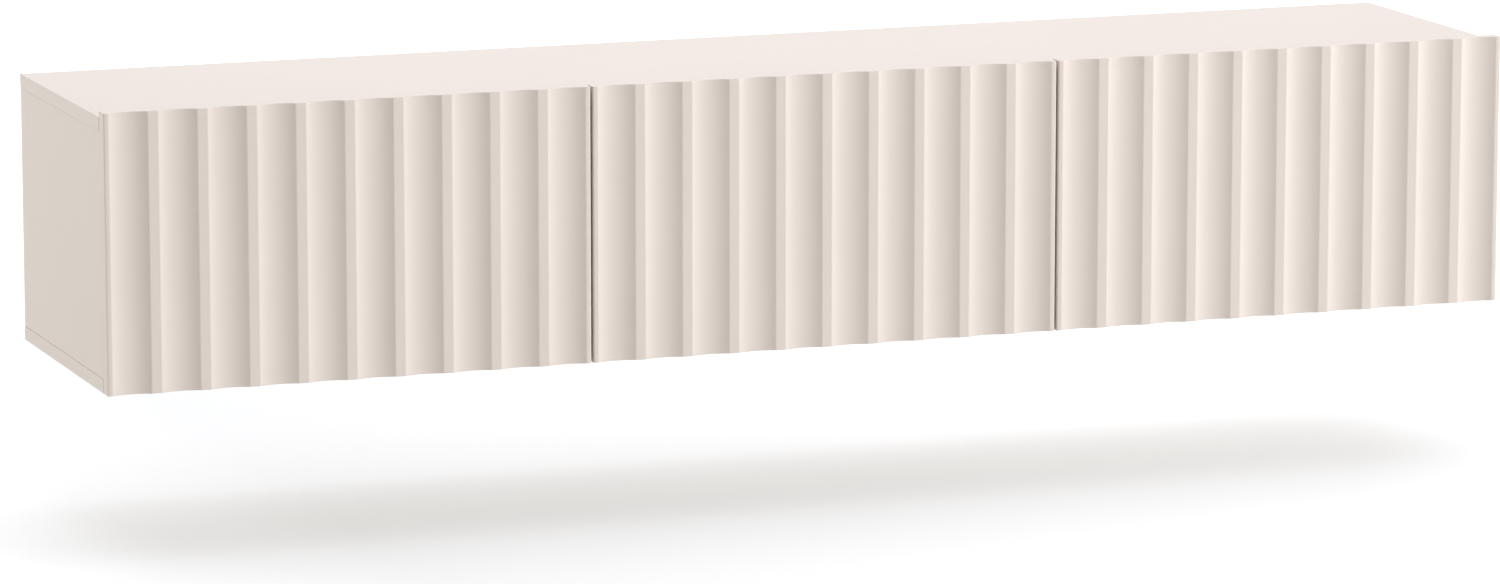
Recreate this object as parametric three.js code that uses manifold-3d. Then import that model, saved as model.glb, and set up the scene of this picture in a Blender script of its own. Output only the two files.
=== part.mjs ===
// A wall-hung media console: a cashmere carcass with three compartments, each closed by a fluted
// drop-down flap on two concealed hinges and one braking stay, hung from a steel rail.
// Millimetres, +Z up. The fronts face -Y and the wall is the plane Y = 0. The origin is the middle
// of the rail's face on the wall.
import * as THREE from 'three';
import { mergeVertices } from 'three/addons/utils/BufferGeometryUtils.js';
import Module from 'manifold-3d';

const wasm = await Module();
wasm.setup();

// Carcass
const consoleWidth = 1900;
const carcassHeight = 346;
const carcassDepth = 384;
const boardThickness = 18;
const sideInset = 0.6; // the side panels stand this far inside the ends of the top and bottom panels
const wallVoid = 20; // free depth behind the back panels, for the rail and the cables
const partitionSetback = 12; // the partitions stop this far from the wall, clear of the rail
const backThickness = 3;
const grooveDepth = 6;
const backPlay = 0.25; // between a back panel and each face of its groove
const cableHoleWidth = 140;
const cableHoleHeight = 60;
const cableHoleRadius = 12;
const cableHoleLift = 40; // from the bottom panel up to the hole

// Fluted flaps
const flapGap = 3; // between neighbouring flaps
const flapThickness = 20;
const flapRise = 7.5; // how far the flaps stand above the top panel, as a finger grip
const closedGap = 2; // between a closed flap and the carcass
const fluteCount = 10;
const fluteLand = 13; // flat strip between two flutes
const endLand = 6.5; // flat strip outside the first and the last flute
const fluteDepth = 5.2;
const flapChamfer = 2; // along the lower inner edge, which swings past the bottom panel
const openingDegrees = 90;

// Concealed hinges
const axisForward = 9.8; // hinge axis in front of the carcass
const axisHeight = 7.3; // hinge axis above the underside of the carcass
const hingeInset = 95; // from the end of the flap to the middle of its hinge
const cupRadius = 17.5;
const cupWall = 1;
const cupFloor = 0.8;
const cupDepth = 11.3;
const cupEdge = 3.2; // wood left between the cup and the lower edge of the flap
const pocketPlay = 0.2; // between the cup and its pocket in the flap
const flangeThickness = 1;
const flangeRim = 2; // how far the flange goes round the cup
const flangeEarSpan = 58;
const flangeEarHeight = 16;
const flangeEarRise = 6; // middle of the ears above the middle of the cup
const flangeTrim = 4.5; // the flange is cut off below this height over the flap's lower edge
const cupScrewSpacing = 46;
const screwHoleRadius = 2;
const pinRadius = 1.2;
const pinLength = 19.2;
const runningPlay = 0.3; // between parts that turn or slide on each other
const barrelRadius = 2.4;
const neckWidth = 7;
const neckThickness = 3;
const neckCorner = 1.2;
const neckReach = 12; // how far the neck runs on under the arm
const plateThickness = 2.5;
const plateSetback = 12; // from the carcass front to the plate
const plateLength = 50;
const plateSpineWidth = 14;
const plateWingSpan = 48;
const plateWingDepth = 14;
const plateScrewSpacing = 34;
const plateScrewSetback = 37; // screw line behind the carcass front
const armSetback = 3;
const armWidth = 15;
const armHeight = 8.5;
const armNoseHeight = 4;
const armNoseLength = 8;
const armTailHeight = 5.5;
const armTailLength = 4;
const armScrewRadius = 2.6;
const armScrewInset = 14; // from each end of the arm to its adjusting screw

// Braking stays. Both stay pivots lie on one circle round the hinge axis, so the bar and the brake
// each turn through exactly half the angle of the flap.
const stayRadius = 180;
const stayLeanDegrees = 55; // of the line from the hinge axis to the brake, above straight back
const bracketReach = 8; // stay pivot behind the inner face of the flap
const pivotBaseRadius = 11;
const pivotBaseThickness = 3;
const pivotStudRadius = 4;
const brakeLength = 44;
const brakeHeight = 24;
const brakeCorner = 5;
const brakeCheek = 5.2; // brake wall on each side of the bar
const barThickness = 3;
const barHeight = 10;
const barEyeRadius = 7;
const barOverlap = 26; // bar left behind the brake pivot when the flap is fully open
const bracketStudRadius = 3;
const bracketEarThickness = 2.5;
const bracketEarRadius = 6;
const bracketBaseThickness = 2;
const bracketBaseWidth = 22;
const bracketBaseHeight = 36;
const bracketScrewSpacing = 24;

// Magnetic catches
const catchWidth = 42;
const catchDepth = 15;
const catchHeight = 13;
const catchRecess = 0.6; // how far the body of the catch lies behind the carcass front
const poleWidth = 32;
const poleThickness = 2;
const poleSpacing = 6;
const poleLength = 8;
const strikeThickness = 1.5;
const strikePlay = 0.3; // between the poles and the strike plate
const strikeWidth = 40;
const strikeHeight = 15;

// Wall rail and hangers
const railThickness = 2;
const railWebHeight = 28; // part of the rail that lies on the wall
const railOffset = 10; // from the wall to the front of the lip
const railLipHeight = 14;
const railTopDrop = 16; // from the underside of the top panel down to the lip
const railEndPlay = 2; // between the end of the rail and a side panel
const railScrewPitch = 240;
const railScrewRadius = 3.5;
const hangerWidth = 14;
const hangerDepth = 56;
const hangerHeight = 44;
const hangerCorner = 6;
const hangerDrop = 3; // from the top panel down to the hanger
const hangerScrewRadius = 4;
const hangerScrewSpacing = 22;
const hangerScrewDepth = 12;
const hookWidth = 8;
const hookHeight = 6;
const hookInside = 40; // length of the hook inside the hanger
const hookTipThickness = 3;
const hookTipDrop = 8; // how far the tip reaches down behind the lip
const hookTravel = 3; // room above and below the hook for levelling

// How finely round shapes are divided
const fluteSteps = 8;
const cupSides = 24;
const roundSides = 12;
const cornerSteps = 3;

// One overrun serves all cuts
const overrun = 1;

// What follows from these sizes
const bays = ['left', 'middle', 'right'];
const flapWidth = (consoleWidth - (bays.length - 1) * flapGap) / bays.length;
const flapHeight = carcassHeight + flapRise;
const flapPitch = flapWidth + flapGap;
const fluteWidth = (flapWidth - 2 * endLand - (fluteCount - 1) * fluteLand) / fluteCount;
const floorTop = boardThickness;
const ceiling = carcassHeight - boardThickness;
const sideOuter = consoleWidth / 2 - sideInset;
const sideInner = sideOuter - boardThickness;
const grooveFront = -(wallVoid + backThickness + 2 * backPlay);
const flapBack = -(carcassDepth + closedGap);
const railTop = ceiling - railTopDrop;
const railWebTop = railTop - railLipHeight;
const railMiddle = railWebTop - railWebHeight / 2;

const finishes = {
  board: { color: 0xe8ddd3, roughness: 0.55, metalness: 0 },
  fluted: { color: 0xe8ddd3, roughness: 0.5, metalness: 0 },
  hardboard: { color: 0xe2d8ce, roughness: 0.7, metalness: 0 },
  nickel: { color: 0xc4c4c2, roughness: 0.3, metalness: 0.9 },
  zinc: { color: 0xaeb0b2, roughness: 0.45, metalness: 0.8 },
  galvanised: { color: 0xb9bcbe, roughness: 0.5, metalness: 0.8 },
  whitePlastic: { color: 0xe9e7e2, roughness: 0.5, metalness: 0 },
  greyPlastic: { color: 0x8f9192, roughness: 0.5, metalness: 0 },
};

const furniture = new THREE.Group();
furniture.position.z = -railMiddle;

function add(name, body, finish, [x, y, z] = [0, 0, 0]) {
  const mesh = new THREE.Mesh(surface(body), new THREE.MeshStandardMaterial(finishes[finish]));
  mesh.name = name;
  mesh.position.set(x, y, z);
  furniture.add(mesh);
  return mesh;
}

// Closed geometry to a solid for joining and cutting, and back
function solid(geometry) {
  geometry.deleteAttribute('normal');
  geometry.deleteAttribute('uv');
  const merged = mergeVertices(geometry);
  const vertProperties = new Float32Array(merged.attributes.position.array);
  const triVerts = new Uint32Array(merged.index.array);
  return new wasm.Manifold(new wasm.Mesh({ numProp: 3, vertProperties, triVerts }));
}

function surface(body) {
  const mesh = body.getMesh();
  const geometry = new THREE.BufferGeometry();
  geometry.setAttribute('position', new THREE.BufferAttribute(mesh.vertProperties, mesh.numProp));
  geometry.setIndex(new THREE.BufferAttribute(mesh.triVerts, 1));
  const faceted = geometry.toNonIndexed();
  faceted.computeVertexNormals();
  return faceted;
}

function join(...parts) {
  return parts.reduce((whole, part) => whole.add(part));
}

function cut(body, ...tools) {
  return tools.reduce((rest, tool) => rest.subtract(tool), body);
}

// A block given by its lowest and highest corners
function block(low, high) {
  const size = high.map((value, i) => value - low[i]);
  const middle = high.map((value, i) => (value + low[i]) / 2);
  return solid(new THREE.BoxGeometry(...size).translate(...middle));
}

// Round rods along each axis, from one end to the other, past a point given by its other two places
function rodAlongX(radius, from, to, y, z) {
  const geometry = new THREE.CylinderGeometry(radius, radius, to - from, roundSides);
  return solid(geometry.rotateZ(-Math.PI / 2).translate((from + to) / 2, y, z));
}

function rodAlongY(radius, from, to, x, z, sides = roundSides) {
  const geometry = new THREE.CylinderGeometry(radius, radius, to - from, sides);
  return solid(geometry.translate(x, (from + to) / 2, z));
}

function rodAlongZ(radius, from, to, x, y) {
  const geometry = new THREE.CylinderGeometry(radius, radius, to - from, roundSides);
  return solid(geometry.rotateX(Math.PI / 2).translate(x, y, (from + to) / 2));
}

function outline(points) {
  return new THREE.Shape(points.map(([a, b]) => new THREE.Vector2(a, b)));
}

function roundedRectangle(left, bottom, right, top, radius) {
  const shape = new THREE.Shape();
  shape.absarc(right - radius, bottom + radius, radius, -Math.PI / 2, 0);
  shape.absarc(right - radius, top - radius, radius, 0, Math.PI / 2);
  shape.absarc(left + radius, top - radius, radius, Math.PI / 2, Math.PI);
  shape.absarc(left + radius, bottom + radius, radius, Math.PI, -Math.PI / 2);
  shape.closePath();
  return shape;
}

// An outline drawn in Y and Z, stretched along X from one end to the other
const sidewaysOn = new THREE.Matrix4().makeBasis(
  new THREE.Vector3(0, 1, 0),
  new THREE.Vector3(0, 0, 1),
  new THREE.Vector3(1, 0, 0),
);

function stretchAlongX(shape, from, to) {
  const settings = { depth: to - from, bevelEnabled: false, curveSegments: cornerSteps };
  const geometry = new THREE.ExtrudeGeometry(shape, settings);
  return solid(geometry.applyMatrix4(sidewaysOn).translate(from, 0, 0));
}

// An outline drawn in X and Z, stretched along Y from its front to its rear
function stretchAlongY(shape, from, to) {
  const settings = { depth: to - from, bevelEnabled: false, curveSegments: cornerSteps };
  const geometry = new THREE.ExtrudeGeometry(shape, settings);
  return solid(geometry.rotateX(Math.PI / 2).translate(0, to, 0));
}

// Where the flaps stand, and the faces of the side panels and partitions beside each compartment
function flapMiddle(bay) {
  return (bay - (bays.length - 1) / 2) * flapPitch;
}

function leftFace(bay) {
  return bay === 0 ? -sideInner : flapMiddle(bay) - flapPitch / 2 + boardThickness / 2;
}

function rightFace(bay) {
  return bay === bays.length - 1 ? sideInner : flapMiddle(bay) + flapPitch / 2 - boardThickness / 2;
}

// The top and bottom panels run over the whole width, with a stopped groove for the back panels
function addWidePanel(name, underside, grooveLow, grooveHigh) {
  const half = consoleWidth / 2;
  const grooveEnd = sideInner + grooveDepth;
  const panel = block([-half, -carcassDepth, underside], [half, 0, underside + boardThickness]);
  const groove = block([-grooveEnd, grooveFront, grooveLow], [grooveEnd, -wallVoid, grooveHigh]);
  add(name, cut(panel, groove), 'board');
}

// Side panels and partitions stand between them, grooved where a back panel ends
function addUpright(name, left, right, back, grooves) {
  const panel = block([left, -carcassDepth, floorTop], [right, back, ceiling]);
  const cuts = grooves.map(([low, high]) => block(
    [low, grooveFront, floorTop - overrun],
    [high, -wallVoid, ceiling + overrun],
  ));
  add(name, cut(panel, ...cuts), 'board');
}

function addUprights() {
  const deep = sideInner + grooveDepth;
  const shallow = sideInner - overrun;
  addUpright('left_side_panel', -sideOuter, -sideInner, 0, [[-deep, -shallow]]);
  addUpright('right_side_panel', sideInner, sideOuter, 0, [[shallow, deep]]);
  for (let bay = 1; bay < bays.length; bay += 1) {
    const left = rightFace(bay - 1);
    const right = leftFace(bay);
    const grooves = [[left - overrun, left + grooveDepth], [right - grooveDepth, right + overrun]];
    addUpright(`partition_${bay}`, left, right, -partitionSetback, grooves);
  }
}

// Each compartment's back panel slides in the grooves and has a cable hole with round corners
function addBackPanel(bay) {
  const reach = grooveDepth - backPlay;
  const left = leftFace(bay) - reach;
  const right = rightFace(bay) + reach;
  const front = grooveFront + backPlay;
  const rear = front + backThickness;
  const middle = (leftFace(bay) + rightFace(bay)) / 2;
  const holeBottom = floorTop + cableHoleLift;
  const hole = roundedRectangle(middle - cableHoleWidth / 2, holeBottom,
    middle + cableHoleWidth / 2, holeBottom + cableHoleHeight, cableHoleRadius);
  let panel = cut(
    block([left, front, floorTop - reach], [right, rear, ceiling + reach]),
    stretchAlongY(hole, front - overrun, rear + overrun),
  );
  const notchBottom = railTop - hookTravel;
  const notchTop = ceiling + grooveDepth;
  const notchReach = sideInner - hangerWidth;
  if (bay === 0) {
    panel = cut(panel, block([left - overrun, front - overrun, notchBottom],
      [-notchReach, rear + overrun, notchTop]));
  }
  if (bay === bays.length - 1) {
    panel = cut(panel, block([notchReach, front - overrun, notchBottom],
      [right + overrun, rear + overrun, notchTop]));
  }
  add(`${bays[bay]}_back_panel`, panel, 'hardboard');
}

// The rail is one folded strip: a web screwed to the wall and a lip that stands off it
function addWallRail() {
  const end = sideInner - railEndPlay;
  const lipBack = railThickness - railOffset;
  const section = outline([
    [0, railWebTop - railWebHeight], [0, railWebTop], [lipBack, railWebTop], [lipBack, railTop],
    [-railOffset, railTop], [-railOffset, railWebTop - railThickness],
    [-railThickness, railWebTop - railThickness], [-railThickness, railWebTop - railWebHeight],
  ]);
  let rail = stretchAlongX(section, -end, end);
  for (let x = railScrewPitch / 2; x < end - railWebHeight; x += railScrewPitch) {
    rail = cut(rail,
      rodAlongY(railScrewRadius, -railThickness - overrun, overrun, x, railMiddle),
      rodAlongY(railScrewRadius, -railThickness - overrun, overrun, -x, railMiddle));
  }
  add('wall_rail', rail, 'galvanised');
}

// A hanger is screwed to each side panel, and its hook goes out over the lip of the rail
function addHanger(name, x) {
  const front = grooveFront - hangerDepth;
  const top = ceiling - hangerDrop;
  const slotFront = grooveFront - hookInside - runningPlay;
  const slotHalf = hookWidth / 2 + runningPlay;
  const hookMiddle = railTop + hookHeight / 2;
  const screwFront = front - overrun;
  const shell = roundedRectangle(front, top - hangerHeight, grooveFront, top, hangerCorner);
  const hanger = cut(
    stretchAlongX(shell, -hangerWidth / 2, hangerWidth / 2),
    block([-slotHalf, slotFront, railTop - hookTravel],
      [slotHalf, grooveFront + overrun, railTop + hookHeight + hookTravel]),
    rodAlongY(hangerScrewRadius, screwFront, slotFront + overrun, 0, hookMiddle),
    rodAlongY(hangerScrewRadius, screwFront, front + hangerScrewDepth, 0,
      hookMiddle - hangerScrewSpacing),
  );
  add(name, hanger, 'whitePlastic', [x, 0, 0]);

  const tipFront = railThickness - railOffset + runningPlay;
  const tipBack = tipFront + hookTipThickness;
  const hook = outline([
    [grooveFront - hookInside, railTop], [tipFront, railTop], [tipFront, railTop - hookTipDrop],
    [tipBack, railTop - hookTipDrop], [tipBack, railTop + hookHeight],
    [grooveFront - hookInside, railTop + hookHeight],
  ]);
  add(`${name}_hook`, stretchAlongX(hook, -hookWidth / 2, hookWidth / 2), 'zinc', [x, 0, 0]);
}

// The flap: ten round-bottomed flutes between flat lands, and two pockets for the hinge cups
function flutedOutline() {
  const half = flapWidth / 2;
  const radius = (fluteWidth ** 2 / 4 + fluteDepth ** 2) / (2 * fluteDepth);
  const sweep = Math.asin(fluteWidth / 2 / radius);
  const points = [[-half, 0], [-half, -flapThickness]];
  for (let flute = 0; flute < fluteCount; flute += 1) {
    const middle = -half + endLand + fluteWidth / 2 + flute * (fluteWidth + fluteLand);
    for (let step = 0; step <= fluteSteps; step += 1) {
      const angle = sweep * (2 * step / fluteSteps - 1);
      const hollow = fluteDepth - radius * (1 - Math.cos(angle));
      points.push([middle + radius * Math.sin(angle), hollow - flapThickness]);
    }
  }
  points.push([half, -flapThickness], [half, 0]);
  return outline(points);
}

function addFlap(bay) {
  const settings = { depth: flapHeight, bevelEnabled: false };
  const end = flapWidth / 2 + overrun;
  const chamfer = outline([
    [overrun, flapChamfer + overrun],
    [-flapChamfer - overrun, -overrun],
    [overrun, -overrun],
  ]);
  const pockets = [-1, 1].map((side) => rodAlongY(cupRadius + pocketPlay, -cupDepth - pocketPlay,
    overrun, side * (flapWidth / 2 - hingeInset), cupEdge + cupRadius, cupSides));
  const flap = cut(solid(new THREE.ExtrudeGeometry(flutedOutline(), settings)),
    stretchAlongX(chamfer, -end, end), ...pockets);
  add(`${bays[bay]}_flap`, flap, 'fluted', [flapMiddle(bay), flapBack, 0]);
}

// Hinge parts are drawn round the hinge axis, with Y = 0 and Z = 0 on it
const innerFace = axisForward - closedGap;
const cupMiddle = cupEdge + cupRadius - axisHeight;
const hingeFloor = floorTop - axisHeight;
const plateTop = hingeFloor + plateThickness;
const armFront = axisForward + armSetback;
const armRear = axisForward + plateSetback + plateLength;

function hingeCup() {
  const floor = innerFace - cupDepth;
  const rim = innerFace + flangeThickness;
  const side = cupRadius + flangeRim;
  const earMiddle = cupMiddle + flangeEarRise;
  const pinEnd = pinLength / 2 + runningPlay;
  return cut(
    join(
      rodAlongY(cupRadius, floor, rim, 0, cupMiddle, cupSides),
      rodAlongY(side, innerFace, rim, 0, cupMiddle, cupSides),
      block([-flangeEarSpan / 2, innerFace, earMiddle - flangeEarHeight / 2],
        [flangeEarSpan / 2, rim, earMiddle + flangeEarHeight / 2]),
    ),
    rodAlongY(cupRadius - cupWall, floor + cupFloor, rim + overrun, 0, cupMiddle, cupSides),
    block([-side, innerFace, cupMiddle - side - overrun],
      [side, rim + overrun, flangeTrim - axisHeight]),
    rodAlongX(pinRadius + runningPlay, -pinEnd, pinEnd, 0, 0),
    ...[-1, 1].map((end) => rodAlongY(screwHoleRadius, innerFace - overrun, rim + overrun,
      end * cupScrewSpacing / 2, earMiddle)),
  );
}

function hingeArm() {
  const neckFront = -neckThickness / 2;
  const neckTop = plateTop + neckThickness;
  const neck = outline([
    [neckFront, 0], [-neckFront, 0], [-neckFront, plateTop], [armFront + neckReach, plateTop],
    [armFront + neckReach, neckTop], [neckFront + neckCorner, neckTop],
    [neckFront, neckTop - neckCorner],
  ]);
  const body = outline([
    [armFront, plateTop], [armRear, plateTop], [armRear, plateTop + armTailHeight],
    [armRear - armTailLength, plateTop + armHeight], [armFront + armNoseLength, plateTop + armHeight],
    [armFront, plateTop + armNoseHeight],
  ]);
  const half = neckWidth / 2;
  return cut(
    join(
      stretchAlongX(neck, -half, half),
      rodAlongX(barrelRadius, -half, half, 0, 0),
      stretchAlongX(body, -armWidth / 2, armWidth / 2),
    ),
    rodAlongX(pinRadius + runningPlay, -half - overrun, half + overrun, 0, 0),
    ...[armFront + armScrewInset, armRear - armScrewInset].map((y) => rodAlongZ(armScrewRadius,
      plateTop - overrun, plateTop + armHeight + overrun, 0, y)),
  );
}

function hingePlate() {
  const screwLine = axisForward + plateScrewSetback;
  const spineHalf = plateSpineWidth / 2;
  const wingHalf = plateWingSpan / 2;
  return cut(
    join(
      block([-spineHalf, armRear - plateLength, hingeFloor], [spineHalf, armRear, plateTop]),
      block([-wingHalf, screwLine - plateWingDepth / 2, hingeFloor],
        [wingHalf, screwLine + plateWingDepth / 2, plateTop]),
    ),
    ...[-1, 1].map((end) => rodAlongZ(screwHoleRadius, hingeFloor - overrun, plateTop + overrun,
      end * plateScrewSpacing / 2, screwLine)),
  );
}

function addHinges(bay) {
  [-1, 1].forEach((side, i) => {
    const x = flapMiddle(bay) + side * (flapWidth / 2 - hingeInset);
    const place = [x, -carcassDepth - axisForward, axisHeight];
    const name = `${bays[bay]}_hinge_${i + 1}`;
    add(`${name}_cup`, hingeCup(), 'nickel', place);
    add(`${name}_pin`, rodAlongX(pinRadius, -pinLength / 2, pinLength / 2, 0, 0), 'nickel', place);
    add(`${name}_arm`, hingeArm(), 'nickel', place);
    add(`${name}_plate`, hingePlate(), 'zinc', place);
  });
}

// Stay places, measured like the hinge parts from the hinge axis, and across from the upright
const lean = THREE.MathUtils.degToRad(stayLeanDegrees);
const brakePivot = new THREE.Vector2(stayRadius * Math.cos(lean), stayRadius * Math.sin(lean));
const bracketY = innerFace + bracketReach;
const bracketPivot = new THREE.Vector2(bracketY, Math.sqrt(stayRadius ** 2 - bracketY ** 2));
const barTilt = brakePivot.clone().sub(bracketPivot).angle();
const closedAngle = 2 * Math.asin(brakePivot.distanceTo(bracketPivot) / 2 / stayRadius);
const openAngle = closedAngle + THREE.MathUtils.degToRad(openingDegrees);
const barLength = 2 * stayRadius * Math.sin(openAngle / 2) + barOverlap;
const brakeLeft = pivotBaseThickness + runningPlay;
const barLeft = brakeLeft + brakeCheek + runningPlay;
const barRight = barLeft + barThickness;
const brakeRight = barRight + runningPlay + brakeCheek;
const earLeft = barRight + runningPlay;

function stayBrake() {
  const channelLeft = barLeft - runningPlay;
  const channelHalf = barHeight / 2 + runningPlay;
  const half = brakeLength / 2;
  const housing = roundedRectangle(-half, -brakeHeight / 2, half, brakeHeight / 2, brakeCorner);
  return cut(
    stretchAlongX(housing, brakeLeft, brakeRight),
    block([channelLeft, -half - overrun, -channelHalf],
      [barRight + runningPlay, half + overrun, channelHalf]),
    rodAlongX(pivotStudRadius + runningPlay, brakeLeft - overrun, barLeft, 0, 0),
  );
}

function stayBar() {
  return cut(
    join(
      block([barLeft, 0, -barHeight / 2], [barRight, barLength, barHeight / 2]),
      rodAlongX(barEyeRadius, barLeft, barRight, 0, 0),
    ),
    rodAlongX(bracketStudRadius + runningPlay, barLeft - overrun, barRight + overrun, 0, 0),
  );
}

// The base lies on the flap's inner face, the ear stands off it and carries the stud for the bar
function stayBracket() {
  const earRight = earLeft + bracketEarThickness;
  const baseRight = earLeft + bracketBaseWidth;
  const base = -bracketReach;
  return cut(
    join(
      block([earLeft, base, -bracketBaseHeight / 2],
        [baseRight, base + bracketBaseThickness, bracketBaseHeight / 2]),
      block([earLeft, base, -bracketEarRadius], [earRight, 0, bracketEarRadius]),
      rodAlongX(bracketEarRadius, earLeft, earRight, 0, 0),
      rodAlongX(bracketStudRadius, barLeft, earRight, 0, 0),
    ),
    ...[-1, 1].map((end) => rodAlongY(screwHoleRadius, base - overrun,
      base + bracketBaseThickness + overrun, (earRight + baseRight) / 2,
      end * bracketScrewSpacing / 2)),
  );
}

function addStay(bay) {
  const axisY = -carcassDepth - axisForward;
  const brakePlace = [leftFace(bay), axisY + brakePivot.x, axisHeight + brakePivot.y];
  const bracketPlace = [leftFace(bay), axisY + bracketPivot.x, axisHeight + bracketPivot.y];
  const pivot = join(rodAlongX(pivotBaseRadius, 0, pivotBaseThickness, 0, 0),
    rodAlongX(pivotStudRadius, 0, barLeft - 2 * runningPlay, 0, 0));
  const name = `${bays[bay]}_stay`;
  add(`${name}_pivot`, pivot, 'zinc', brakePlace);
  add(`${name}_brake`, stayBrake(), 'greyPlastic', brakePlace).rotation.x = barTilt;
  add(`${name}_bar`, stayBar(), 'nickel', bracketPlace).rotation.x = barTilt;
  add(`${name}_bracket`, stayBracket(), 'nickel', bracketPlace);
}

// A magnetic catch under the top panel holds each flap by a steel strike plate
function addCatch(bay) {
  const low = ceiling - catchHeight;
  const middle = ceiling - catchHeight / 2;
  const bodyFront = catchRecess - carcassDepth;
  const poleFront = flapBack + strikeThickness + strikePlay;
  const x = flapMiddle(bay);
  const poles = [-1, 1].map((side) => {
    const z = middle + side * poleSpacing / 2;
    return block([-poleWidth / 2, poleFront, z - poleThickness / 2],
      [poleWidth / 2, poleFront + poleLength, z + poleThickness / 2]);
  });
  const body = block([-catchWidth / 2, bodyFront, low],
    [catchWidth / 2, bodyFront + catchDepth, ceiling]);
  add(`${bays[bay]}_magnetic_catch`, join(body, ...poles), 'whitePlastic', [x, 0, 0]);

  const strike = block([-strikeWidth / 2, flapBack, middle - strikeHeight / 2],
    [strikeWidth / 2, flapBack + strikeThickness, middle + strikeHeight / 2]);
  add(`${bays[bay]}_strike_plate`, strike, 'zinc', [x, 0, 0]);
}

addWidePanel('top_panel', ceiling, ceiling - overrun, ceiling + grooveDepth);
addWidePanel('bottom_panel', 0, floorTop - grooveDepth, floorTop + overrun);
addUprights();
addWallRail();
addHanger('left_hanger', hangerWidth / 2 - sideInner);
addHanger('right_hanger', sideInner - hangerWidth / 2);
bays.forEach((name, bay) => {
  addBackPanel(bay);
  addFlap(bay);
  addHinges(bay);
  addStay(bay);
  addCatch(bay);
});

export default furniture;
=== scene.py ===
import math

import bmesh
import bpy
from mathutils import Matrix, Vector


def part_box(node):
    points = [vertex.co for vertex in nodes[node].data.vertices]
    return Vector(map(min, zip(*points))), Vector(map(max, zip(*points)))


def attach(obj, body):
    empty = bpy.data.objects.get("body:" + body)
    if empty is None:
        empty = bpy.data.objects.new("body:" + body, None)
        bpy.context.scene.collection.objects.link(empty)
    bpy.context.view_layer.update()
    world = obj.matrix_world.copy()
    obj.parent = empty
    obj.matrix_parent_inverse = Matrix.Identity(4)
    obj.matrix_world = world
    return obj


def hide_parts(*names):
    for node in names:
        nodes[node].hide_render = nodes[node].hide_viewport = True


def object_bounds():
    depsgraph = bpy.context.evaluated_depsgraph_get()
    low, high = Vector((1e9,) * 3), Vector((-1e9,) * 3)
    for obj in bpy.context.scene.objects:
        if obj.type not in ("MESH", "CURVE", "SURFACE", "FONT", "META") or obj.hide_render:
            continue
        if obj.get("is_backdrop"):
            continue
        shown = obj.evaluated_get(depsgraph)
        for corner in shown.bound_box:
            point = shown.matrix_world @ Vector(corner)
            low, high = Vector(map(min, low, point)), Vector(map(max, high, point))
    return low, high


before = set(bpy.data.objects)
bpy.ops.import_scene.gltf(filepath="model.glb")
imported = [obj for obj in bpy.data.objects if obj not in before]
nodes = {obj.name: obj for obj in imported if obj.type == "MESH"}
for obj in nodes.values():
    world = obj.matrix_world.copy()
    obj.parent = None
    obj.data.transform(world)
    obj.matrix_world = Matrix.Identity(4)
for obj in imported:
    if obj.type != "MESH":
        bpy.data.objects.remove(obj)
cadLow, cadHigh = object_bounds()
bays = ("left", "middle", "right")
bothSides = (-1, 1)
print("frame loaded:", len(nodes), "solids")


# small tools for node trees
class Wire:  # a socket that works in a sum, so that a formula in a tree reads like one
    def __init__(self, tree, socket):
        self.tree = tree
        self.socket = socket

    def __add__(self, other):
        return calc(self.tree, "ADD", self, other)

    def __sub__(self, other):
        return calc(self.tree, "SUBTRACT", self, other)

    def __rsub__(self, other):
        return calc(self.tree, "SUBTRACT", other, self)

    def __mul__(self, other):
        return calc(self.tree, "MULTIPLY", self, other)

    __rmul__ = __mul__

    def __truediv__(self, other):
        return calc(self.tree, "DIVIDE", self, other)


def plug(tree, value, slot):  # a wire becomes a link, anything else the socket's own value
    if isinstance(value, list):
        for each in value:
            tree.links.new(each.socket, slot)
    elif isinstance(value, Wire):
        tree.links.new(value.socket, slot)
    else:
        slot.default_value = value


def put(tree, kind, values=None, get=0, **settings):
    node = tree.nodes.new(kind)
    for name, value in settings.items():
        setattr(node, name, value)
    for name, value in (values or {}).items():
        plug(tree, value, node.inputs[name])
    return Wire(tree, node.outputs[get])


def calc(tree, operation, *values):
    return put(tree, "ShaderNodeMath", dict(enumerate(values)), operation=operation)


def vector(tree, x, y, z):
    return put(tree, "ShaderNodeCombineXYZ", {"X": x, "Y": y, "Z": z})


def startTree(name, sizes):
    tree = bpy.data.node_groups.new(name, "GeometryNodeTree")
    face = tree.interface
    face.new_socket(name="Geometry", in_out="INPUT", socket_type="NodeSocketGeometry")
    kinds = {int: "NodeSocketInt", float: "NodeSocketFloat", tuple: "NodeSocketVector",
             type(None): "NodeSocketObject"}
    for label, value in sizes.items():
        slot = face.new_socket(name=label, in_out="INPUT", socket_type=kinds[type(value)])
        slot.default_value = value
    face.new_socket(name="Finish", in_out="INPUT", socket_type="NodeSocketMaterial")
    face.new_socket(name="Geometry", in_out="OUTPUT", socket_type="NodeSocketGeometry")
    entry = tree.nodes.new("NodeGroupInput")
    return tree, {slot.name: Wire(tree, slot) for slot in entry.outputs if slot.name}


def endTree(tree, shape, material):
    whole = put(tree, "GeometryNodeRealizeInstances", {"Geometry": shape})
    painted = put(tree, "GeometryNodeSetMaterial", {"Geometry": whole, "Material": material})
    tree.links.new(painted.socket, tree.nodes.new("NodeGroupOutput").inputs[0])
    return tree


# objects and their plain meshes
def addObject(name, data):
    piece = bpy.data.objects.new(name, data)
    bpy.context.scene.collection.objects.link(piece)
    return piece


def plainMesh(piece):  # what its modifiers, or its curve, give
    graph = bpy.context.evaluated_depsgraph_get()
    return bpy.data.meshes.new_from_object(piece.evaluated_get(graph))


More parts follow.
